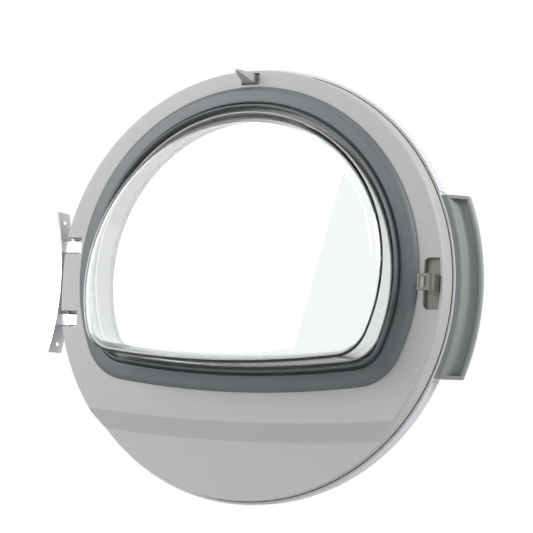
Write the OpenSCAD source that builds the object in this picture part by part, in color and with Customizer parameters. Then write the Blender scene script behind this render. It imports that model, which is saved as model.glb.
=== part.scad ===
// Round drum door of a front-loading tumble dryer, seen open at a right angle to its hinge plate.
// Millimetres. +Z is up, X runs across the door, the machine side of the door faces -Y.
// The origin is midway between the two hinge screw holes, on the hinge plate's back.

/* [Inner frame] */
// Radius of the inner frame at its face
face_r = 215; // [205:1:225]
// How much wider the inner frame is at its open back edge
skirt_flare = 1; // [0.5:0.1:1.2]
// Depth of the inner frame from face to open edge
skirt_depth = 19.3; // [17:0.1:20]
// Wall thickness of the inner frame
frame_wall = 2.5; // [2:0.1:3]
// Rounding along the outer edge of the face
face_edge_r = 3; // [1:0.5:5]
// How far the lower part of the face is set back
step_depth = 11; // [6:0.5:13]
// Height of the top of the sloped step, below the middle of the door
step_z = -138; // [-145:1:-132]
// Radius of the arc that the step follows
step_arc_r = 1800; // [900:50:2500]
// Vertical run of the slope
step_run = 19; // [10:1:26]

/* [Window bowl] */
// Distance from the seal's outer edge to the bowl's wall along their round tops
bowl_inset = 26; // [26:0.5:32]
// Height of that arc's centre above the middle of the door
bowl_cz = 5; // [3:0.5:7]
// Lowest point of the bowl's wall
bowl_bottom = -82; // [-86:0.5:-78]
// Radius of the bowl's lower corners
bowl_corner_r = 36; // [28:1:44]
// Height of the bowl above the face at the middle of the door
bowl_height = 38; // [34:0.5:44]
// Slope of the bowl's end wall, rise for each millimetre down
bowl_slope = 0.15; // [0.08:0.01:0.18]
// Glass thickness
glass_t = 4; // [3:0.25:5]
// Rounding between the bowl's wall and its end
bowl_edge_r = 10; // [8:0.5:11]
// Width of the bowl's flange
bowl_flange_w = 4.6; // [3:0.1:5]

/* [Door seal] */
// Width of the face outside the seal
face_margin = 25; // [24:0.25:26]
// Height of that arc's centre above the middle of the door
seal_cz = 8; // [7.5:0.25:8.5]
// Lowest point of the seal
seal_bottom = -109; // [-112:0.5:-107]
// Radius of the seal's lower corners
seal_corner_r = 50; // [44:1:56]
// Height of the flat part of the seal above the face
seal_flat_h = 5.4; // [4:0.2:7]
// Height of the sealing lip above the face
seal_lip_h = 12.2; // [11:0.2:14]
// Distance from the seal's outer edge to the groove outside the lip
seal_flat_w = 17; // [15:0.25:17.5]
// Width of the seal from outer edge to lip's inner side
seal_w = 22.3; // [21.8:0.1:22.3]
// Radius of the wide arc along the bottom of the bowl and the seal
bottom_arc_r = 980; // [700:20:1400]

/* [Outer frame] */
// How far the outer frame stands out past the inner frame
outer_proud = 3.2; // [2.6:0.1:5]
// Depth of the outer frame's front face behind the inner face
outer_front = 46; // [42:0.5:52]
// Wall thickness of the outer frame
outer_wall = 2.4; // [2:0.1:3]
// Rounding between the side and the front
outer_edge_r = 10; // [6:0.5:14]
// Width of the front round the window
front_ring_w = 34.9; // [31:0.1:39]
// Width of the ledge that carries the window cover
ledge_w = 8.3; // [6:0.1:10]
// Thickness of the window cover
cover_t = 2.6; // [2:0.1:3.2]
// Height of the window cover's dome
cover_dome = 3; // [0.5:0.5:6]

/* [Handle] */
// How far the handle's lip reaches past the outer frame
handle_reach = 21.1; // [18.5:0.1:26]
// Half of the handle's height
handle_half = 88; // [70:1:92]
// Depth of the handle's back edge behind the inner face
handle_back = 22.5; // [20.5:0.5:26]
// Depth of the finger channel
grip_depth = 15; // [10:0.5:17]

/* [Hinge] */
// Distance of the hinge pin inside the rim of the face
pin_inset = 15; // [13:0.5:18]
// Depth of the hinge pin behind the face
pin_depth = 19.5; // [18:0.5:21]
// Radius of the hinge pin
pin_r = 2.5; // [2:0.1:3]
// Running clearance between pin and bush
pin_clear = 0.05; // [0.02:0.01:0.09]
// Wall of the plastic bush
bush_t = 1; // [0.8:0.1:1.2]
// Thickness of the hinge's steel
hinge_t = 2; // [1.6:0.1:2.4]
// Distance from the pin to the middle of the hinge plate
hinge_reach = 22; // [21.5:0.1:24]
// Clearance between the shut hinge plate and the seal
plate_clear = 2; // [1.2:0.1:4]
// Width of the hinge plate
plate_w = 21; // [17:0.5:24]
// Half of the hinge plate's height
plate_half = 74; // [70:0.5:80]
// Half of the distance between the two screw holes
hole_half = 64.5; // [60:0.5:68]
// Radius of the screw holes
hole_r = 2.6; // [2:0.1:3]
// Half of the distance between the two hinge arms
arm_half = 38.5; // [36:0.5:42]
// Height of one hinge arm
arm_h = 11.5; // [10:0.5:13]
// Height of a hinge notch in the inner frame
notch_h = 17; // [16:0.5:19]

/* [Latch and switch tab] */
// Distance of the latch window's outer side from the rim of the face
latch_inset = 3.4; // [3:0.1:5]
// Width of the latch window
latch_w = 17; // [15:0.5:18]
// Half of the latch window's height
latch_half = 24.7; // [22:0.1:27]
// Width of the hook strip
hook_w = 16; // [12:0.5:18]
// Height of the hook above the face
hook_h = 17; // [13:0.5:20]
// Length of the hook's flange
hook_len = 17.6; // [15:0.2:18.4]
// Thickness of the latch's steel
latch_t = 1.8; // [1.2:0.1:2.4]
// Distance of the middle of the switch tab's pocket from the rim of the face
tab_inset = 9; // [8:0.5:12]
// Length of the switch tab
tab_len = 26.5; // [20:0.5:32]

/* [Hidden] */
$fn = 96;

fine = 360;
cut = 1;
gap = 0.3;
slack = 0.1;
skirt_r = face_r + skirt_flare;
outer_r = skirt_r + outer_proud;
window_r = outer_r - front_ring_w;
handle_r = outer_r + handle_reach;
seal_r = face_r - face_margin;
bowl_r = seal_r - bowl_inset;
pin_x = face_r - pin_inset;
plate_in_r = seal_r + plate_clear;
plate_out_r = plate_in_r + plate_w;
latch_x = face_r - latch_inset;
tab_z = face_r - tab_inset;
plate_y = pin_depth - hinge_reach;
plate_back = plate_y - hinge_t / 2;
knuckle_r = pin_r + pin_clear + bush_t + hinge_t;
bush_r = pin_r + pin_clear + bush_t;
hole_x = sqrt(pow((plate_in_r + plate_out_r) / 2, 2) - pow(hole_half, 2));
origin_x = -pin_x + plate_back - pin_depth;
origin_y = pin_depth - (pin_x - hole_x);
swing_clear = 0.4;
swing_r = hinge_reach - hinge_t / 2 - swing_clear;
block_half = arm_half - notch_h / 2;

collar_top = 10;
collar_end = -14;
collar_gap = 0.7;
collar_t = 1.2;
gasket_t = 1.5;
flange_t = 4;
flange_top = collar_end - gasket_t;
flange_end = flange_top - flange_t;
surround_t = 2.5;
surround_w = 11;
surround_r = bowl_r + 9;

screw_r = 1.5;
pilot_r = 1.6;
head_r = 2.8;
head_t = 1.6;
boss_r = 3.5;

bracket_t = 2;
lug_t = 3;
washer_t = 1;
washer_clear = 0.15;
lug_gap = arm_h / 2 + washer_t + 2 * washer_clear;
lug_near = pin_depth - 7;
web_near = pin_depth + 6.5;
bracket_in = pin_x - 21.8;
bracket_out = pin_x + 7;
bracket_half = arm_half + 21.5;
bracket_screw_x = pin_x - 15.5;
bracket_screw_z = [-arm_half - 16.5, 24.5 - arm_half, arm_half - 24.5, arm_half + 16.5];
pin_half = arm_half + lug_gap + lug_t + 3;
clip_t = 1.2;
clip_r = 5;

tape_t = 0.8;
tape_top = 4.3 - outer_front;

frame_screw_in = 9;
frame_screw_angles = [for (k = [0:6]) -20 + k * 220 / 6];
outer_boss_r = 3.5;
surround_screw_out = 8;
surround_screw_angles = [0, 36, 72, 108, 144, 180];
surround_low = [[62, bowl_bottom - 8.5], [86, 49 - surround_r]];
handle_screw_angles = [-15, 0, 15];
handle_seat_r = outer_r - 0.8;
latch_pad = 5;
latch_wing = latch_half + 13.3;
latch_screw_z = latch_half + 6.3;
tab_pocket = [20, 12];
tab_x = -1;
tab_screw_x = 14;
tab_base_t = 2;
rib_pitch = 40;
frame_screw_len = 18;

// The door's own axes: x across, y up, z towards the machine, zero at the middle of the inner face
module door_axes() translate([-origin_x, -origin_y, 0]) rotate([90, 0, 0]) children();

// The hinge plate is laid out flat against the shut door, then swung open by a right angle
module hinge_axes()
    translate([-origin_x, -origin_y, 0]) translate([-pin_x, pin_depth, 0]) rotate([0, 0, -90])
    translate([pin_x, -pin_depth, 0]) rotate([90, 0, 0]) children();

// Outline with a round top, a nearly flat bottom and round lower corners, all drawn inwards by o
function d_corner(r, cz, bottom, corner, o) =
    let (a = r - corner, b = bottom_arc_r - corner, bz = bottom + bottom_arc_r,
         z = (a * a - b * b - cz * cz + bz * bz) / (2 * (bz - cz)))
    [sqrt(a * a - pow(z - cz, 2)), z, atan2(z - cz, sqrt(a * a - pow(z - cz, 2))),
     atan2(z - bz, sqrt(a * a - pow(z - cz, 2))), bz];
function arc(cx, cz, r, from, to, steps) =
    [for (k = [0:steps - 1]) let (t = from + (to - from) * k / steps) [cx + r * cos(t), cz + r * sin(t)]];
function d_half(r, cz, bottom, corner, o, n) =
    let (c = d_corner(r, cz, bottom, corner, o))
    concat(arc(0, cz, r - o, 90, c[2], 14 * n), arc(c[0], c[1], corner - o, c[2], c[3], 7 * n),
           arc(0, c[4], bottom_arc_r - o, c[3], -90, 3 * n));
function d_points(r, cz, bottom, corner, o, n = 1) =
    let (h = d_half(r, cz, bottom, corner, o, n), last = len(h) - 1)
    concat(h, [[0, bottom + o]], [for (k = [last:-1:1]) [-h[k][0], h[k][1]]]);
function seal_line(o, n = 1) = d_points(seal_r, seal_cz, seal_bottom, seal_corner_r, o, n);
function bowl_line(o, n = 1) = d_points(bowl_r, bowl_cz, bowl_bottom, bowl_corner_r, o, n);

function backwards(line) = [for (k = [len(line) - 1:-1:0]) line[k]];

// Closes rings of points into one solid, with the first and last ring as flat ends
module ring_solid(rings, loop = false) {
    n = len(rings[0]);
    m = len(rings);
    points = [for (r = rings) each r];
    sides = [for (k = [0:m - (loop ? 1 : 2)], i = [0:n - 1])
             let (a = k * n, b = ((k + 1) % m) * n, j = (i + 1) % n) [a + i, a + j, b + j, b + i]];
    ends = loop ? [] : [[for (i = [n - 1:-1:0]) i], [for (i = [0:n - 1]) (m - 1) * n + i]];
    polyhedron(points, concat(sides, ends), convexity = 6);
}

function lifted(line, h) = [for (p = line) [p[0], p[1], h]];
function bowl_top(z) = bowl_height - bowl_slope * z;
function under_top(line, d) = [for (p = line) [p[0], p[1], bowl_top(p[1]) - d]];

module slab(from, to) translate([0, 0, from]) linear_extrude(to - from, convexity = 6) children();
module disc(r, from, to) translate([0, 0, from]) cylinder(r = r, h = to - from, $fn = fine);
module post(p, r, from, to) translate([p[0], p[1], from]) cylinder(r = r, h = to - from, $fn = 32);
function on_arc(r, cz, angle) = [r * cos(angle), cz + r * sin(angle)];
function frame_screw(a) = on_arc(seal_r - frame_screw_in, seal_cz, a);
function surround_screws_at() =
    concat([for (a = surround_screw_angles) on_arc(bowl_r + surround_screw_out, bowl_cz, a)],
           [for (p = surround_low, s = [-1, 1]) [s * p[0], p[1]]]);

// Everything behind the face, which steps back along an arc in its lower part
module behind_face(d) {
    foot = step_arc_r + step_run;
    union() {
        disc(2 * face_r, -outer_front - cut, -step_depth - d);
        translate([0, step_z + step_arc_r, -step_depth - d])
            cylinder(r1 = foot, r2 = step_arc_r, h = step_depth, $fn = fine);
    }
}

// Outer form of the inner frame down to h, with its rounded edge at the face
module pan(inset, top, h) {
    steps = 5;
    r = max(face_edge_r - inset, 0.5);
    rim = [for (k = [0:steps]) let (t = 90 * k / steps)
           [face_r - inset - r + r * sin(t), top - r + r * cos(t)]];
    rotate_extrude($fn = fine)
        polygon(concat([[0, top]], rim, [[skirt_r - inset, h], [0, h]]));
}

module stepped_pan(inset, h) {
    intersection() {
        pan(inset, -inset, h);
        behind_face(inset);
    }
    intersection() {
        pan(inset, -step_depth - inset, h);
        translate([0, -face_r + step_z, 0]) cube([3 * face_r, 2 * face_r, 3 * face_r], center = true);
    }
}

module notch_area(grow, depth_from, depth_to)
    for (s = [-1, 1])
        translate([-face_r - 10, s * arm_half - notch_h / 2 - grow, depth_from])
            cube([face_r + 10 - (pin_x - 9) + grow, notch_h + 2 * grow, depth_to - depth_from]);

// Round bar about the hinge pin's axis
module swing_bar(r)
    translate([-pin_x, 0, -pin_depth]) rotate([90, 0, 0])
        cylinder(r = r, h = 2 * arm_half, center = true, $fn = fine);

// Outer corner of the block between the two notches
module block_corner(grow)
    translate([-face_r - 10, -block_half - grow, -pin_depth])
        cube([face_r + 10 - pin_x, 2 * (block_half + grow), pin_depth + grow]);

module latch_outline(grow) {
    corner = 5;
    intersection() {
        circle(r = latch_x + grow, $fn = fine);
        union() {
            translate([latch_x - latch_w - grow + corner, -latch_half - grow])
                square([latch_w + 2 * grow, 2 * (latch_half + grow)]);
            translate([latch_x - latch_w - grow, -latch_half - grow + corner])
                square([latch_w + 2 * grow, 2 * (latch_half + grow - corner)]);
            for (s = [-1, 1])
                translate([latch_x - latch_w - grow + corner, s * (latch_half + grow - corner)])
                    circle(r = corner, $fn = 32);
        }
    }
}

module tab_outline(grow)
    translate([tab_x, tab_z]) square([tab_pocket[0] + 2 * grow, tab_pocket[1] + 2 * grow], center = true);
module tab_pad(grow, r) intersection() {
    translate([tab_x, tab_z]) square([2 * (tab_screw_x + grow), tab_pocket[1] + 2 * grow], center = true);
    circle(r = r, $fn = fine);
}

module inner_frame() color([0.76, 0.76, 0.75]) door_axes() {
    rib_t = 1.8;
    rib_to = -9;
    difference() {
        union() {
            difference() {
                stepped_pan(0, -skirt_depth);
                stepped_pan(frame_wall, -skirt_depth - cut);
            }
            // Collar round the bowl
            slab(collar_end, collar_top) polygon(bowl_line(-collar_gap - collar_t, 2));
            // Thick pad for the latch
            slab(-latch_pad, -cut) intersection() {
                circle(r = face_r - frame_wall / 2, $fn = fine);
                translate([latch_x - latch_w - 4, -latch_wing - 2]) square([latch_w + 8, 2 * latch_wing + 4]);
            }
            // Thick pad for the switch tab
            slab(-latch_pad, -cut) tab_pad(4, face_r - frame_wall / 2);
            // Walls round the hinge notches
            intersection() {
                difference() {
                    notch_area(rib_t, rib_to, -cut);
                    notch_area(0, rib_to - cut, 0);
                }
                disc(face_r - frame_wall / 2, rib_to, 0);
            }
            // Rounded wall of the block, behind the hinge plate's path
            intersection() {
                stepped_pan(0, -skirt_depth);
                block_corner(0);
                difference() {
                    swing_bar(swing_r);
                    swing_bar(swing_r - frame_wall);
                }
            }
            for (z = bracket_screw_z) post([-bracket_screw_x, z], boss_r, -web_near, -cut);
            for (p = surround_screws_at()) post(p, 3, flange_end, -cut);
            // Ribs behind the lower face
            for (x = [-3 * rib_pitch:rib_pitch:3 * rib_pitch])
                intersection() {
                    slab(-skirt_depth + 1, -frame_wall - 1)
                        translate([x - rib_t / 2, -face_r]) square([rib_t, face_r + step_z + 10]);
                    stepped_pan(frame_wall / 2, -skirt_depth);
                }
        }
        slab(collar_end - cut, collar_top + cut) polygon(bowl_line(-collar_gap, 2));
        notch_area(0, -skirt_depth - cut, cut);
        difference() {
            block_corner(cut);
            swing_bar(swing_r);
        }
        slab(-latch_pad - cut, cut) latch_outline(0);
        slab(-latch_pad - cut, cut) tab_outline(0);
        for (a = frame_screw_angles) {
            post(frame_screw(a), pilot_r + slack, -frame_wall - cut, cut);
            post(frame_screw(a), head_r + slack, -head_t, cut);
        }
        for (z = bracket_screw_z) post([-bracket_screw_x, z], pilot_r, -web_near - cut, -web_near + 12);
        for (p = surround_screws_at()) post(p, pilot_r, flange_end - cut, flange_end + 10);
        for (s = [-1, 1]) {
            post([latch_x - latch_w / 2, s * latch_screw_z], pilot_r, -latch_pad - cut, -frame_wall + 1);
            post([tab_x + s * tab_screw_x, tab_z - 2], pilot_r, -latch_pad - cut, -frame_wall + 1);
        }
    }
}

module door_seal() color([0.45, 0.48, 0.49]) door_axes() {
    lip = seal_lip_h;
    flat = seal_flat_h;
    w = seal_flat_w;
    inner = seal_w;
    profile = [[0.4, 0], [0, 0.6], [0.2, 1.2], [3.4, flat - 0.6], [4.6, flat], [10, flat + 0.2],
               [w - 1.4, flat + 0.6], [w, flat - 0.4], [w + 0.6, 2], [w + 1.8, 1.6], [w + 2.3, 3.6],
               [w + 2.5, lip - 1.8], [w + 3.3, lip - 0.4], [w + 4.5, lip], [inner - 0.5, lip - 0.8],
               [inner, lip - 2.4], [inner, 0]];
    ring_solid([for (p = profile) lifted(seal_line(p[0]), p[1])], loop = true);
}

module window_bowl() color([0.85, 0.88, 0.9, 0.4]) door_axes() {
    steps = 4;
    r = bowl_edge_r;
    ri = max(r - glass_t, 2);
    outer_edge = [for (k = [0:steps]) let (t = 90 * k / steps)
                  under_top(bowl_line(r - r * sin(t)), r - r * cos(t))];
    inner_edge = [for (k = [steps:-1:0]) let (t = 90 * k / steps)
                  under_top(bowl_line(glass_t + ri - ri * sin(t)), glass_t + ri - ri * cos(t))];
    foot = [lifted(bowl_line(0), flange_top), lifted(bowl_line(-bowl_flange_w), flange_top),
            lifted(bowl_line(-bowl_flange_w), flange_end), lifted(bowl_line(glass_t), flange_end)];
    ring_solid(backwards(concat(outer_edge, foot, inner_edge)));
}

module bowl_gasket() color([0.12, 0.12, 0.13]) door_axes()
    slab(flange_top, collar_end) difference() {
        polygon(bowl_line(-bowl_flange_w, 2));
        polygon(bowl_line(-collar_gap, 2));
    }

module surround_outline(grow) {
    polygon(bowl_line(-surround_w - grow, 2));
    circle(r = surround_r + grow, $fn = fine);
}

module bowl_surround() color([0.72, 0.72, 0.71]) door_axes() {
    edge_t = 1.2;
    edge_h = 6;
    difference() {
        slab(flange_end - surround_t, flange_end) surround_outline(edge_t);
        slab(flange_end - outer_front, flange_end + cut) polygon(bowl_line(-collar_gap, 2));
        for (p = surround_screws_at()) post(p, pilot_r + slack, flange_end - surround_t - cut, flange_end + cut);
    }
    slab(flange_end - edge_h, flange_end - surround_t / 2) difference() {
        surround_outline(edge_t);
        surround_outline(0);
    }
}

// Screw with its head's bearing face at h, driven towards the machine
module screw_up(p, h, length) {
    post(p, screw_r, h, h + length);
    difference() {
        post(p, head_r, h - 2.2, h);
        translate([p[0], p[1], h - 2.2]) cube([1.1, 4, 2], center = true);
        translate([p[0], p[1], h - 2.2]) cube([4, 1.1, 2], center = true);
    }
}

module surround_screws() color("silver") door_axes()
    for (p = surround_screws_at()) screw_up(p, flange_end - surround_t, surround_t + 8);

module outer_frame() color([0.93, 0.93, 0.94]) door_axes() {
    steps = 8;
    front = outer_front;
    r = outer_edge_r;
    inside_r = outer_r - outer_wall;
    ledge_in = window_r - ledge_w;
    ledge_t = 2.4;
    round_out = [for (k = [0:steps]) let (t = 90 * k / steps)
                 [outer_r - r + r * cos(t), -front + r - r * sin(t)]];
    round_in = [for (k = [steps:-1:0]) let (t = 90 * k / steps)
                [outer_r - r + (r - outer_wall) * cos(t), -front + r - (r - outer_wall) * sin(t)]];
    back_edge = -skirt_depth - 0.7;
    difference() {
        union() {
            rotate_extrude($fn = fine)
                polygon(concat([[outer_r, back_edge]], round_out,
                               [[window_r + 1, -front - 0.5], [window_r, -front], [window_r, tape_top],
                                [ledge_in, tape_top], [ledge_in, tape_top + ledge_t],
                                [window_r - 1, tape_top + ledge_t], [window_r + outer_wall, -front + outer_wall]],
                               round_in, [[inside_r, back_edge]]));
            difference() {
                for (a = frame_screw_angles)
                    post(frame_screw(a), outer_boss_r, -front + outer_wall / 2 + 1, -frame_wall - slack);
                disc(window_r, -front, tape_top + ledge_t / 2);
            }
        }
        for (a = frame_screw_angles)
            post(frame_screw(a), pilot_r, -frame_wall - frame_screw_len - 2, -frame_wall + cut);
        // Seat of the handle, a shallow flat-bottomed recess in the side
        difference() {
            translate([outer_r, 0, -front / 2 - 10])
                cube([60, 2 * handle_half + 7, front + 20], center = true);
            disc(handle_seat_r, -2 * front, 2 * cut);
        }
        for (a = handle_screw_angles)
            rotate([0, 0, a]) translate([handle_seat_r - 8, 0, -(handle_back + outer_front) / 2 + 4])
                rotate([0, 90, 0]) cylinder(r = pilot_r + slack, h = 16, $fn = 32);
    }
}

// Screw driven from the front side towards the front frame
module frame_screws() color("silver") door_axes()
    for (a = frame_screw_angles) {
        p = frame_screw(a);
        post(p, screw_r, -frame_screw_len, -head_t);
        difference() {
            post(p, head_r, -head_t, -0.1);
            translate([p[0], p[1], -0.1]) cube([1, 4, 1.6], center = true);
            translate([p[0], p[1], -0.1]) cube([4, 1, 1.6], center = true);
        }
    }

// Section of one face of the domed cover, moved outwards by lift
function cover_face(edge, base, lift) =
    let (dome = (edge * edge + cover_dome * cover_dome) / (2 * cover_dome), half = asin(edge / dome), n = 12)
    [for (k = [0:n]) let (t = half * k / n)
     [dome * sin(t), base - lift - cover_dome + dome * (1 - cos(t))]];

module window_cover() color([0.88, 0.9, 0.92, 0.35]) door_axes() {
    edge = window_r - 0.5;
    base = tape_top - tape_t;
    rotate_extrude($fn = fine)
        polygon(concat(cover_face(edge, base, cover_t), backwards(cover_face(edge, base, 0))));
}

module cover_tape() color([0.1, 0.1, 0.11]) door_axes()
    slab(tape_top - tape_t, tape_top) difference() {
        circle(r = window_r - 0.6, $fn = fine);
        circle(r = window_r - ledge_w + 0.5, $fn = fine);
    }

module handle() color([0.47, 0.49, 0.49]) door_axes() {
    back = -handle_back;
    seat = handle_seat_r + 0.1;
    lip = handle_r;
    floor_h = back - grip_depth;
    front = -outer_front - 1.2;
    end_t = 3.2;
    corner = 3;
    ridge = seat + 6.4;
    channel = [[seat, back], [ridge - 1.6, back], [ridge, back - 1.1], [ridge + 0.8, back - 4],
               [ridge + 1.8, back - 8.5], [ridge + 3.8, floor_h + 1.8], [ridge + 6.6, floor_h],
               [lip - 6, floor_h + 0.2], [lip - 4.4, floor_h + 1.8], [lip - 3.3, floor_h + 2.7],
               [lip - 1.1, floor_h + 2.7], [lip, floor_h + 1.5]];
    shell = [[lip, floor_h - 2.2], [lip - 2, floor_h - 5.8], [lip - 6, front + 1.3],
             [lip - 13, front + 0.2], [seat + 2, front], [seat, front]];
    closed = [[seat, back], [ridge - 1.6, back], [ridge, back - 1.1], [lip - 1.1, floor_h + 2.7],
              [lip, floor_h + 1.5]];
    difference() {
        intersection() {
            union() {
                rotate_extrude($fn = fine) polygon(concat(channel, shell));
                difference() {
                    rotate_extrude($fn = fine) polygon(concat(closed, shell));
                    cube([4 * face_r, 2 * (handle_half - end_t), 4 * face_r], center = true);
                }
            }
            slab(-2 * outer_front, 0) {
                translate([0, -handle_half + corner]) square([2 * face_r, 2 * (handle_half - corner)]);
                translate([0, -handle_half]) square([face_r + 7, 2 * handle_half]);
                for (s = [-1, 1]) translate([face_r + 7, s * (handle_half - corner)]) circle(r = corner);
            }
        }
        for (a = handle_screw_angles)
            rotate([0, 0, a]) translate([handle_seat_r - 8, 0, -(handle_back + outer_front) / 2 + 4])
                rotate([0, 90, 0]) cylinder(r = pilot_r, h = 13.5, $fn = 32);
    }
}

module handle_screws() color("silver") door_axes()
    for (a = handle_screw_angles)
        rotate([0, 0, a]) translate([0, 0, -(handle_back + outer_front) / 2 + 4]) rotate([0, 90, 0]) {
            post([0, 0], screw_r, outer_r - outer_wall, outer_r + 4.5);
            difference() {
                post([0, 0], head_r, outer_r - outer_wall - 2.6, outer_r - outer_wall - 0.4);
                translate([0, 0, outer_r - outer_wall - 2.6]) cube([1.1, 4, 2], center = true);
                translate([0, 0, outer_r - outer_wall - 2.6]) cube([4, 1.1, 2], center = true);
            }
            post([0, 0], screw_r, outer_r - outer_wall - 0.5, outer_r - outer_wall + cut);
        }

module latch_hook() color([0.7, 0.7, 0.68]) door_axes() {
    outer_x = latch_x - 0.6;
    inner_x = outer_x - hook_len;
    bend = 4.2;
    tip = 4;
    tip_bend = 2.2;
    wing_in = latch_x - latch_w - 2;
    difference() {
        slab(-latch_pad - latch_t, -latch_pad) intersection() {
            circle(r = latch_x - 0.2, $fn = fine);
            translate([wing_in, -latch_wing]) square([latch_w + 4, 2 * latch_wing]);
        }
        for (s = [-1, 1])
            post([latch_x - latch_w / 2, s * latch_screw_z], pilot_r + slack, -latch_pad - 2 * latch_t, cut);
    }
    difference() {
        intersection() {
            // Side view of the bent strip, swept over the strip's width
            translate([0, hook_w / 2, 0]) rotate([90, 0, 0]) linear_extrude(hook_w) {
                translate([outer_x - latch_t, -latch_pad - latch_t])
                    square([latch_t, hook_h - bend + latch_pad + latch_t]);
                translate([inner_x + tip_bend, hook_h - latch_t])
                    square([hook_len - bend - tip_bend, latch_t]);
                translate([inner_x, hook_h - tip]) square([latch_t, tip - tip_bend]);
                translate([outer_x - bend, hook_h - bend]) intersection() {
                    difference() {
                        circle(r = bend, $fn = 48);
                        circle(r = bend - latch_t, $fn = 48);
                    }
                    square(bend);
                }
                translate([inner_x + tip_bend, hook_h - tip_bend]) intersection() {
                    difference() {
                        circle(r = tip_bend, $fn = 48);
                        circle(r = tip_bend - latch_t, $fn = 48);
                    }
                    translate([-tip_bend, 0]) square(tip_bend);
                }
            }
            slab(-3 * latch_pad, 2 * hook_h) {
                translate([inner_x + 3, -hook_w / 2]) square([hook_len, hook_w]);
                translate([inner_x, -hook_w / 2 + 3]) square([hook_len, hook_w - 6]);
                for (s = [-1, 1]) translate([inner_x + 3, s * (hook_w / 2 - 3)]) circle(r = 3, $fn = 32);
            }
        }
        translate([inner_x + 3.4, -5, hook_h - 2 * latch_t]) cube([6.8, 10, 4 * latch_t]);
    }
}

module latch_screws() color("silver") door_axes()
    for (s = [-1, 1]) screw_up([latch_x - latch_w / 2, s * latch_screw_z], -latch_pad - latch_t, latch_t + 3);

function tongue(x, top, size, h) =
    [[x - size[0] / 2, top - size[1], h], [x + size[0] / 2, top - size[1], h],
     [x + size[0] / 2, top, h], [x - size[0] / 2, top, h]];

module switch_tab() color([0.62, 0.63, 0.62]) door_axes() {
    root = [13, 8.5];
    tip = [3.6, 2.2];
    left = tab_x - tab_pocket[0] / 2 + 1.5;
    top = tab_z + tab_pocket[1] / 2 - 1.2;
    cx = left + root[0] / 2;
    // Tapered tongue: the top stays level, the sides and the underside draw in
    ring_solid(backwards([tongue(cx, top, root, -latch_pad), tongue(cx, top, root, 0),
                          tongue(cx, top, tip, tab_len)]));
    difference() {
        slab(-latch_pad - tab_base_t, -latch_pad) tab_pad(3, face_r - frame_wall - gap - cut);
        for (s = [-1, 1])
            post([tab_x + s * tab_screw_x, tab_z - 2], pilot_r + slack, -3 * latch_pad, cut);
    }
}

module tab_screws() color("silver") door_axes()
    for (s = [-1, 1])
        screw_up([tab_x + s * tab_screw_x, tab_z - 2], -latch_pad - tab_base_t, tab_base_t + 3);

module hinge_plate() color([0.83, 0.84, 0.85]) hinge_axes() {
    centre_z = 4;
    knuckle_x = -pin_x;
    arm_x = knuckle_x + knuckle_r - hinge_t;
    difference() {
        slab(-plate_y - hinge_t / 2, -plate_y + hinge_t / 2) {
            corner = 3;
            difference() {
                intersection() {
                    circle(r = plate_out_r, $fn = fine);
                    union() {
                        translate([-face_r, -plate_half + corner]) square([face_r / 2, 2 * (plate_half - corner)]);
                        translate([-hole_x - 7, -plate_half]) square([face_r / 2, 2 * plate_half]);
                        for (s = [-1, 1])
                            translate([-hole_x - 7, s * (plate_half - corner)]) circle(r = corner, $fn = 32);
                    }
                }
                translate([0, centre_z]) circle(r = plate_in_r, $fn = fine);
            }
        }
        for (s = [-1, 1]) translate([-hole_x, s * hole_half, -plate_y])
            cylinder(r = hole_r, h = 4 * hinge_t, center = true, $fn = 48);
    }
    for (s = [-1, 1]) translate([0, s * arm_half, 0]) difference() {
        union() {
            translate([arm_x, -arm_h / 2, -pin_depth]) cube([hinge_t, arm_h, pin_depth - plate_y]);
            translate([knuckle_x, 0, -pin_depth]) rotate([90, 0, 0])
                cylinder(r = knuckle_r, h = arm_h, center = true, $fn = 64);
        }
        translate([knuckle_x, 0, -pin_depth]) rotate([90, 0, 0])
            cylinder(r = bush_r, h = arm_h + 2 * cut, center = true, $fn = 64);
    }
}

// Tube along the hinge pin, centred at height z
module pin_ring(z, h, r_out, r_in)
    translate([-pin_x, z, -pin_depth]) rotate([90, 0, 0]) difference() {
        cylinder(r = r_out, h = h, center = true, $fn = 64);
        cylinder(r = r_in, h = h + 2 * cut, center = true, $fn = 64);
    }

module hinge_bushes() color("ivory") hinge_axes()
    for (s = [-1, 1]) pin_ring(s * arm_half, arm_h, bush_r, pin_r + pin_clear);

module hinge_pin() color([0.6, 0.6, 0.6]) door_axes()
    translate([-pin_x, 0, -pin_depth]) rotate([90, 0, 0])
        cylinder(r = pin_r, h = 2 * pin_half, center = true, $fn = 64);

module pin_clips() color([0.3, 0.3, 0.32]) door_axes()
    for (s = [-1, 1])
        pin_ring(s * (arm_half + lug_gap + lug_t + slack + clip_t / 2), clip_t, clip_r, pin_r + 0.02);

module hinge_washers() color("ivory") door_axes()
    for (s = [-1, 1], t = [-1, 1])
        pin_ring(s * arm_half + t * (lug_gap - washer_t / 2), washer_t, knuckle_r, pin_r + 0.02);

module hinge_bracket() color([0.7, 0.71, 0.72]) door_axes() {
    difference() {
        union() {
            slab(-web_near - bracket_t, -web_near)
                translate([-bracket_out, -bracket_half]) square([bracket_out - bracket_in, 2 * bracket_half]);
            for (s = [-1, 1], t = [-1, 1])
                translate([-bracket_out, s * arm_half + t * (lug_gap + lug_t / 2) - lug_t / 2, -web_near - cut])
                    cube([16, lug_t, web_near + cut - lug_near]);
        }
        translate([-pin_x, 0, -pin_depth]) rotate([90, 0, 0])
            cylinder(r = pin_r + 0.02, h = 3 * bracket_half, center = true, $fn = 64);
        for (z = bracket_screw_z) post([-bracket_screw_x, z], pilot_r + slack, -web_near - 2 * bracket_t, 0);
    }
}

module bracket_screws() color("silver") door_axes()
    for (z = bracket_screw_z) screw_up([-bracket_screw_x, z], -web_near - bracket_t, bracket_t + 9);

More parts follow.
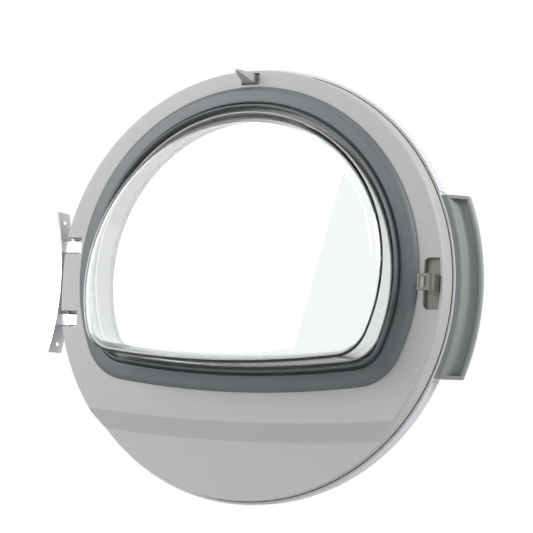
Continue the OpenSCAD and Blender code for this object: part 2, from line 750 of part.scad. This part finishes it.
hinge_plate();
hinge_bushes();
hinge_pin();
pin_clips();
hinge_washers();
hinge_bracket();
bracket_screws();
inner_frame();
door_seal();
window_bowl();
bowl_gasket();
bowl_surround();
surround_screws();
outer_frame();
frame_screws();
window_cover();
cover_tape();
handle();
handle_screws();
latch_hook();
latch_screws();
switch_tab();
tab_screws();
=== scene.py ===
# %% [markdown]
# # The round door of a tumble dryer
#
# The door hangs open on its hinge plate and shows the side that faces the machine: a light grey
# moulding, a rubber seal, and a thick clear bowl with a slanted end. This lesson dresses the packed
# model of that door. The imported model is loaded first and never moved, and each new piece is made
# over the part of it that the piece stands for.

# %% Load the frame
import math

import bmesh
import bpy
from mathutils import Matrix, Vector


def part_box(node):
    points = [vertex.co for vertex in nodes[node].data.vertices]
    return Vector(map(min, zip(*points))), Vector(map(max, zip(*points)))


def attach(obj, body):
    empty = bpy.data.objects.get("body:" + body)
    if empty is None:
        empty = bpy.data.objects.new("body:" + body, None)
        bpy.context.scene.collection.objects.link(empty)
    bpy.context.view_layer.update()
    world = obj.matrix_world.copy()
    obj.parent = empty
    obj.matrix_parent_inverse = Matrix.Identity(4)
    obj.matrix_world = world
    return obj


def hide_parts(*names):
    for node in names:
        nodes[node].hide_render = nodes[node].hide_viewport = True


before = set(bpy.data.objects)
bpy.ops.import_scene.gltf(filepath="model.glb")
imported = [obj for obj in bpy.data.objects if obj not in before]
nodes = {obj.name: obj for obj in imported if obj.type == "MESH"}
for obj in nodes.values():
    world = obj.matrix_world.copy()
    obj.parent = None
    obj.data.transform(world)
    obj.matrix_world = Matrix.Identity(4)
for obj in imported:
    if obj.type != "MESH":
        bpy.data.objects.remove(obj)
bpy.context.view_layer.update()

# %% [markdown]
# Lengths are thought of in millimetres, as on a drawing, and Blender works in metres. The middle of
# the door isn't the origin of the frame, which lies on the hinge plate, so the round parts are placed
# from the middle of the inner frame's own box and from the face that the seal's foot lies on.

# %% Units and the middle of the door
MM = 0.001
low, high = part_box("inner_frame")
FACE_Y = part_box("door_seal")[1].y
MIDDLE = Vector(((low.x + high.x) / 2, FACE_Y, 0))
print("middle of the door at", [round(1000 * v, 2) for v in MIDDLE], "mm")


# %% [markdown]
# A colour picked on a screen is an sRGB hex value, and a shader wants linear light, so one function
# turns one into the other. A second small function adds a node to a material with its settings and its
# links, which keeps each finish down to a few readable lines.

# %% Colour and node helpers
def linear(hex_colour):
    """The linear colour, with alpha, of an sRGB hex value such as #C8C8C6."""
    parts = [int(hex_colour[i:i + 2], 16) / 255 for i in (1, 3, 5)]
    return [c / 12.92 if c <= 0.04045 else ((c + 0.055) / 1.055) ** 2.4 for c in parts] + [1.0]


def add(tree, kind, inputs=None, **settings):
    """Adds a node. inputs maps a socket to a value or to the socket that feeds it."""
    node = tree.nodes.new("ShaderNode" + kind)
    for name, value in settings.items():
        setattr(node, name, value)
    for socket, value in (inputs or {}).items():
        if isinstance(value, bpy.types.NodeSocket):
            tree.links.new(value, node.inputs[socket])
        else:
            node.inputs[socket].default_value = value
    return node


def new_material(name):
    """An empty material with its node tree and its surface socket."""
    material = bpy.data.materials.new(name)
    material.use_nodes = True
    tree = material.node_tree
    tree.nodes.clear()
    return material, tree, add(tree, "OutputMaterial").inputs["Surface"]


# %% [markdown]
# ## Moulded plastics
#
# Most of the door is ABS from a steel mould. The mould was spark-eroded, which leaves a fine even
# grain that softens the highlights. The real grain is about 0.1 mm wide, too fine for this picture,
# so it is drawn three times as coarse. A very weak, slow change of colour stands for the flow of the
# plastic in the mould. No moulded or stamped edge is sharp: a Bevel node rounds each edge in the
# shading by less than half a millimetre, which catches the thin bright lines along the real ones.

# %% Moulded plastic
EDGE_ROUNDING = 0.4


def moulded_plastic(name, colour, roughness, grain_mm=0.35, grain_depth=0.15, flow=0.03):
    material, tree, surface = new_material(name)
    place = add(tree, "TexCoord").outputs["Object"]
    slow = add(tree, "TexNoise", {"Vector": place, "Scale": 9.0, "Detail": 2.0})
    tint = add(tree, "MixRGB", {"Fac": slow.outputs["Fac"],
                                "Color1": [c * (1 - flow) for c in linear(colour)[:3]] + [1],
                                "Color2": [c * (1 + flow) for c in linear(colour)[:3]] + [1]})
    grain = add(tree, "TexNoise", {"Vector": place, "Scale": 1 / (grain_mm * MM), "Detail": 1.0})
    edges = add(tree, "Bevel", {"Radius": EDGE_ROUNDING * MM}, samples=4)
    bump = add(tree, "Bump", {"Height": grain.outputs["Fac"], "Strength": grain_depth,
                              "Distance": 0.05 * MM, "Normal": edges.outputs["Normal"]})
    rough = add(tree, "MapRange", {"Value": slow.outputs["Fac"], "To Min": roughness - 0.04,
                                   "To Max": roughness + 0.04})
    shader = add(tree, "BsdfPrincipled", {"Base Color": tint.outputs["Color"], "IOR": 1.53,
                                          "Roughness": rough.outputs["Result"],
                                          "Normal": bump.outputs["Normal"]})
    tree.links.new(shader.outputs["BSDF"], surface)
    return material


grey_abs = moulded_plastic("light grey moulded ABS", "#BCBDBB", 0.48)
white_abs = moulded_plastic("white polished ABS", "#E3E4E8", 0.3, grain_depth=0.04)
handle_abs = moulded_plastic("mid grey moulded ABS", "#909594", 0.45)
tab_abs = moulded_plastic("grey moulded acetal", "#B9BBB9", 0.4)
nylon = moulded_plastic("natural nylon", "#E8E4D6", 0.5)
print("plastics:", ", ".join(m.name for m in bpy.data.materials))


# %% [markdown]
# ## Rubber
#
# The seal is a moulded ring of grey EPDM rubber. It is smooth and slightly waxy, with a soft broad
# highlight, and its tone varies a little at random.

# %% Rubber
def moulded_rubber(name, colour, roughness):
    material, tree, surface = new_material(name)
    place = add(tree, "TexCoord").outputs["Object"]
    cloud = add(tree, "TexNoise", {"Vector": place, "Scale": 30.0, "Detail": 4.0})
    tint = add(tree, "MixRGB", {"Fac": cloud.outputs["Fac"],
                                "Color1": [c * 0.94 for c in linear(colour)[:3]] + [1],
                                "Color2": [c * 1.06 for c in linear(colour)[:3]] + [1]})
    skin = add(tree, "TexNoise", {"Vector": place, "Scale": 1 / (0.6 * MM), "Detail": 2.0})
    bump = add(tree, "Bump", {"Height": skin.outputs["Fac"], "Strength": 0.1, "Distance": 0.05 * MM})
    shader = add(tree, "BsdfPrincipled", {"Base Color": tint.outputs["Color"], "IOR": 1.5,
                                          "Roughness": roughness, "Normal": bump.outputs["Normal"]})
    tree.links.new(shader.outputs["BSDF"], surface)
    return material


seal_rubber = moulded_rubber("grey EPDM rubber", "#666D6F", 0.42)
gasket_rubber = moulded_rubber("black EPDM rubber", "#242527", 0.55)
tape_foam = moulded_rubber("black foam tape", "#1C1C1E", 0.8)


# %% [markdown]
# ## Steel
#
# The hinge plate and the latch hook are stamped from zinc-plated sheet. Plating on rolled sheet shows
# faint streaks along the rolling direction and a satin sheen, so the roughness follows a noise that
# is stretched along one axis.

# %% Plated steel
def plated_steel(name, colour, roughness, streak=(1, 1, 12)):
    material, tree, surface = new_material(name)
    place = add(tree, "TexCoord").outputs["Object"]
    along = add(tree, "Mapping", {"Vector": place, "Scale": streak})
    lines = add(tree, "TexNoise", {"Vector": along.outputs["Vector"], "Scale": 220.0, "Detail": 3.0})
    rough = add(tree, "MapRange", {"Value": lines.outputs["Fac"], "From Min": 0.3, "From Max": 0.7,
                                   "To Min": roughness - 0.07, "To Max": roughness + 0.07})
    edges = add(tree, "Bevel", {"Radius": EDGE_ROUNDING * MM}, samples=4)
    bump = add(tree, "Bump", {"Height": lines.outputs["Fac"], "Strength": 0.08,
                              "Distance": 0.05 * MM, "Normal": edges.outputs["Normal"]})
    shader = add(tree, "BsdfPrincipled", {"Base Color": linear(colour), "Metallic": 1.0,
                                          "Roughness": rough.outputs["Result"],
                                          "Normal": bump.outputs["Normal"]})
    tree.links.new(shader.outputs["BSDF"], surface)
    return material


hinge_zinc = plated_steel("zinc plated hinge steel", "#E4E5E7", 0.42)
latch_zinc = plated_steel("yellowish zinc plated steel", "#6C6B65", 0.4)
bright_steel = plated_steel("bright zinc plated screws", "#CFCFCF", 0.25)
bracket_zinc = plated_steel("galvanised sheet", "#B9BBBD", 0.45)
spring_steel = plated_steel("blued spring steel", "#55565A", 0.35)


# %% [markdown]
# ## Glass
#
# The bowl is pressed soda-lime glass, and the cover in front of it is polished clear sheet. Both are
# left perfectly clear: what the eye reads is the bending of light at their rims.

# %% Glass
def clear_glass(name, colour, ior):
    material, tree, surface = new_material(name)
    shader = add(tree, "BsdfPrincipled", {"Base Color": linear(colour), "IOR": ior,
                                          "Roughness": 0.0, "Transmission Weight": 1.0})
    tree.links.new(shader.outputs["BSDF"], surface)
    return material


bowl_glass = clear_glass("pressed soda-lime glass", "#F7FAF9", 1.5)
cover_clear = clear_glass("polished clear cover", "#FCFDFD", 1.49)

# %% [markdown]
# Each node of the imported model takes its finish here. A later piece that stands for a node gets the
# same finish as the node would have had.

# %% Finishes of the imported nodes
FINISH = {
    "hinge_plate": hinge_zinc, "hinge_bushes": nylon, "hinge_pin": bright_steel,
    "pin_clips": spring_steel, "hinge_washers": nylon, "hinge_bracket": bracket_zinc,
    "bracket_screws": bright_steel, "inner_frame": grey_abs, "door_seal": seal_rubber,
    "window_bowl": bowl_glass, "bowl_gasket": gasket_rubber, "bowl_surround": grey_abs,
    "surround_screws": bright_steel, "outer_frame": white_abs, "frame_screws": bright_steel,
    "window_cover": cover_clear, "cover_tape": tape_foam, "handle": handle_abs,
    "handle_screws": bright_steel, "latch_hook": latch_zinc, "latch_screws": bright_steel,
    "switch_tab": tab_abs, "tab_screws": bright_steel,
}
for name, finish in FINISH.items():
    nodes[name].data.materials.clear()
    nodes[name].data.materials.append(finish)
print("finished", len(FINISH), "nodes")

# %% [markdown]
# ## The outline of bowl and seal
#
# Both follow a D lying on its back: a round top, tight lower corners and a wide shallow arc along
# the bottom. A ring of that outline is drawn by spinning one vertex round the centre of each arc in
# turn and mirroring the half. Rings of the same outline, drawn inwards by a few millimetres and lifted
# off the face, are then bridged into a shell.

# %% D-shaped rings
BOTTOM_ARC = 980


class Outline:
    """A D-shaped outline in millimetres, measured from the middle of the door."""

    def __init__(self, radius, centre, bottom, corner):
        self.radius, self.centre, self.corner = radius, centre, corner
        self.low_centre = bottom + BOTTOM_ARC
        a, b = radius - corner, BOTTOM_ARC - corner
        z = (a * a - b * b - centre ** 2 + self.low_centre ** 2) / (2 * (self.low_centre - centre))
        x = math.sqrt(a * a - (z - centre) ** 2)
        self.corner_centre = (x, z)
        self.alpha = math.atan2(z - centre, x)
        self.beta = math.atan2(z - self.low_centre, x)


SEAL = Outline(190, 8, -109, 50)
BOWL = Outline(164, 5, -82, 36)
STEPS = (56, 24, 14)
WELD = 0.02


def spin_on(bm, vertex, centre, angle, steps):
    """Carries a vertex round a centre in the XZ plane and returns the last vertex."""
    made = bmesh.ops.spin(bm, geom=[vertex], cent=(centre[0], 0, centre[1]), axis=(0, 1, 0),
                          dvec=(0, 0, 0), angle=angle, steps=steps, use_duplicate=False)
    return next(v for v in made["geom_last"] if isinstance(v, bmesh.types.BMVert))


def d_ring(bm, outline, inset, height):
    """Draws the outline, drawn inwards by inset and lifted by height, and returns its edges."""
    before = set(bm.edges)
    o = outline
    first = bm.verts.new((0, 0, o.centre + o.radius - inset))
    last = spin_on(bm, first, (0, o.centre), math.pi / 2 - o.alpha, STEPS[0])
    last = spin_on(bm, last, o.corner_centre, o.alpha - o.beta, STEPS[1])
    spin_on(bm, last, (0, o.low_centre), o.beta + math.pi / 2, STEPS[2])
    half = [e for e in bm.edges if e not in before]
    verts = list({v for e in half for v in e.verts})
    bmesh.ops.translate(bm, vec=(0, -height, 0), verts=verts)
    bmesh.ops.mirror(bm, geom=half + verts, matrix=Matrix.Identity(4), merge_dist=WELD, axis="X")
    ring = [e for e in bm.edges if e not in before]
    if len(ring) != 2 * sum(STEPS) or len({v for e in ring for v in e.verts}) != len(ring):
        raise ValueError("the two halves of a ring don't meet")
    return ring


def to_object(bm, name, body, finish, stands_for, smooth_angle=35):
    """Turns a bmesh in door millimetres into an object that rides on a body and stands for a node."""
    bmesh.ops.transform(bm, matrix=Matrix.Translation(MIDDLE) @ Matrix.Scale(MM, 4), verts=bm.verts)
    mesh = bpy.data.meshes.new(name)
    bm.to_mesh(mesh)
    bm.free()
    mesh.materials.append(finish)
    mesh.shade_smooth()
    mesh.set_sharp_from_angle(angle=math.radians(smooth_angle))
    piece = bpy.data.objects.new(name, mesh)
    bpy.context.scene.collection.objects.link(piece)
    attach(piece, body)
    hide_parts(stands_for)
    print(name, "has", len(mesh.polygons), "faces")
    return piece


# %% [markdown]
# ## The seal
#
# Seen in section, the seal starts with a bevelled foot, runs flat to a groove, and ends in a rounded
# lip that presses on the drum's front. The section is a short list of points, and each of them becomes
# one ring. A subdivision surface then rounds the rubber.

# %% Seal
SEAL_SECTION = [(0.5, 0), (0.1, 0.5), (0.5, 1.7), (3.3, 4.6), (4.4, 5.3), (6.0, 5.5), (11, 5.6),
                (15.4, 5.9), (16.6, 5.7), (17, 5), (17.4, 2.3), (18.2, 1.7), (19, 2.2),
                (19.3, 4), (19.4, 9.6), (20.0, 11.5), (20.8, 12.1), (21.8, 11.6), (22.2, 9.8),
                (22.2, 0.6), (21.7, 0)]

bm = bmesh.new()
rings = [d_ring(bm, SEAL, inset, height) for inset, height in SEAL_SECTION]
for ring, following in zip(rings, rings[1:] + rings[:1]):
    bmesh.ops.bridge_loops(bm, edges=ring + following)
bmesh.ops.recalc_face_normals(bm, faces=bm.faces)
seal = to_object(bm, "seal_ring", "door", seal_rubber, "door_seal", smooth_angle=180)
rounding = seal.modifiers.new("rounding", "SUBSURF")
rounding.levels = rounding.render_levels = 1

# %% [markdown]
# ## The bowl
#
# The bowl's wall stands square to the face, its end is a flat slanted wall, and the edge between them
# is a wide fillet. The slope is a shear: each ring is first drawn flat, then every vertex is lifted in
# proportion to how low it lies. The rings run over the outside, round the flange and up the inside. One
# more ring lies flat beside each fillet, so that the smooth shading of the fillet ends there.

# %% Bowl
BOWL_HEIGHT, BOWL_SLOPE, GLASS = 38, 0.15, 4
FLANGE_OUT, FLANGE_TOP, FLANGE_END = 4.6, -15.5, -19.5
OUTER_FILLET, INNER_FILLET, FILLET_STEPS = 10, 6, 10
FLAT_EDGE = 2


def fillet(start, radius):
    """Inset and drop below the end wall's surface, from its flat part to the straight side."""
    turns = [math.pi / 2 * k / FILLET_STEPS for k in range(FILLET_STEPS + 1)]
    curve = [(start + radius * (1 - math.sin(t)), radius * (1 - math.cos(t))) for t in turns]
    return [(start + radius + FLAT_EDGE, 0)] + curve


def sloped_ring(bm, inset, drop):
    """A ring that lies parallel to the bowl's slanted end, drop below it."""
    edges = d_ring(bm, BOWL, inset, BOWL_HEIGHT - drop)
    shear = Matrix.Identity(4)
    shear[1][2] = BOWL_SLOPE
    bmesh.ops.transform(bm, matrix=shear, verts=list({v for e in edges for v in e.verts}))
    return edges


bm = bmesh.new()
outside = [sloped_ring(bm, inset, drop) for inset, drop in fillet(0, OUTER_FILLET)]
flange = [d_ring(bm, BOWL, inset, height) for inset, height in
          [(0, FLANGE_TOP), (-FLANGE_OUT, FLANGE_TOP), (-FLANGE_OUT, FLANGE_END), (GLASS, FLANGE_END)]]
inside = [sloped_ring(bm, inset, drop + GLASS) for inset, drop in reversed(fillet(GLASS, INNER_FILLET))]
rings = outside + flange + inside
for ring, following in zip(rings, rings[1:]):
    bmesh.ops.bridge_loops(bm, edges=ring + following)
for ring in (rings[0], rings[-1]):
    bmesh.ops.contextual_create(bm, geom=ring)
bmesh.ops.recalc_face_normals(bm, faces=bm.faces)
bowl = to_object(bm, "glass_bowl", "door", bowl_glass, "window_bowl", smooth_angle=40)

# %% [markdown]
# ## Camera
#
# The camera stands to the right of the open door and a little below its middle, and looks slightly
# upwards with a small tilt. Its place was worked out from the door's round rims and lower step.

# %% Camera
CAMERA_AT = MIDDLE + Vector((792.3, -1498.0, -153.2)) * MM
AZIMUTH, ELEVATION, ROLL = 27.04, -5.75, 2.92
FOCAL_MM = 115.56

camera = bpy.data.objects.new("camera", bpy.data.cameras.new("camera"))
bpy.context.scene.collection.objects.link(camera)
turn = (Matrix.Rotation(math.radians(AZIMUTH), 4, "Z")
        @ Matrix.Rotation(math.radians(90 - ELEVATION), 4, "X")
        @ Matrix.Rotation(math.radians(ROLL), 4, "Z"))
camera.matrix_world = Matrix.Translation(CAMERA_AT) @ turn
camera.data.lens = FOCAL_MM
camera.data.sensor_width = 36
bpy.context.scene.camera = camera
print("camera looks", round(math.degrees(camera.data.angle), 2), "degrees wide")

# %% [markdown]
# ## Studio
#
# A pale disc of floor lies below the door, and large soft lamps stand to the right, above and to the
# left. The world is white to the camera, and to rays that a mirror or a glass sends out, but gives only
# part of that light to the plastic.

# %% Floor, lamps and world
FLOOR_Z, FLOOR_RADIUS = -360 * MM, 1.6
bm = bmesh.new()
bmesh.ops.create_circle(bm, cap_ends=True, segments=96, radius=FLOOR_RADIUS)
bmesh.ops.translate(bm, vec=(MIDDLE.x, 0, FLOOR_Z), verts=bm.verts)
floor_mesh = bpy.data.meshes.new("floor")
bm.to_mesh(floor_mesh)
bm.free()
floor = bpy.data.objects.new("floor", floor_mesh)
bpy.context.scene.collection.objects.link(floor)

floor_paint, tree, surface = new_material("pale floor")
matte = add(tree, "BsdfDiffuse", {"Color": linear("#DEDEDE")})
tree.links.new(matte.outputs["BSDF"], surface)
floor_mesh.materials.append(floor_paint)


def lamp(name, at, size, power):
    """A square soft lamp at a place in metres from the middle of the door, aimed at that middle."""
    light = bpy.data.lights.new(name, "AREA")
    light.size, light.energy = size, power
    holder = bpy.data.objects.new(name, light)
    holder.location = MIDDLE + Vector(at)
    holder.rotation_euler = (-Vector(at)).to_track_quat("-Z", "Y").to_euler()
    bpy.context.scene.collection.objects.link(holder)


LIGHT = 0.92
lamp("right lamp", (2.3, 0.1, 1.3), 1.2, 48 * LIGHT)
lamp("top lamp", (0.2, -0.9, 2.4), 1.6, 10 * LIGHT)
lamp("front lamp", (-1.1, -1.3, 0.7), 1.0, 20 * LIGHT)

AMBIENT = 0.34 * LIGHT
world = bpy.data.worlds.new("studio")
bpy.context.scene.world = world
world.use_nodes = True
tree = world.node_tree
tree.nodes.clear()
ray = add(tree, "LightPath")
seen = add(tree, "Math", {0: ray.outputs["Is Camera Ray"], 1: ray.outputs["Is Glossy Ray"]},
           operation="MAXIMUM")
seen = add(tree, "Math", {0: seen.outputs[0], 1: ray.outputs["Is Transmission Ray"]},
           operation="MAXIMUM")
lit = add(tree, "Background", {"Color": (1, 1, 1, 1), "Strength": AMBIENT})
shown = add(tree, "Background", {"Color": (1, 1, 1, 1), "Strength": 1.0})
both = add(tree, "MixShader", {"Fac": seen.outputs[0], 1: lit.outputs[0], 2: shown.outputs[0]})
add(tree, "OutputWorld", {"Surface": both.outputs[0]})
bpy.context.scene.view_settings.view_transform = "Standard"

# %% [markdown]
# The last cell brings the scene up to date.

# %% Bring the scene up to date
bpy.context.view_layer.update()
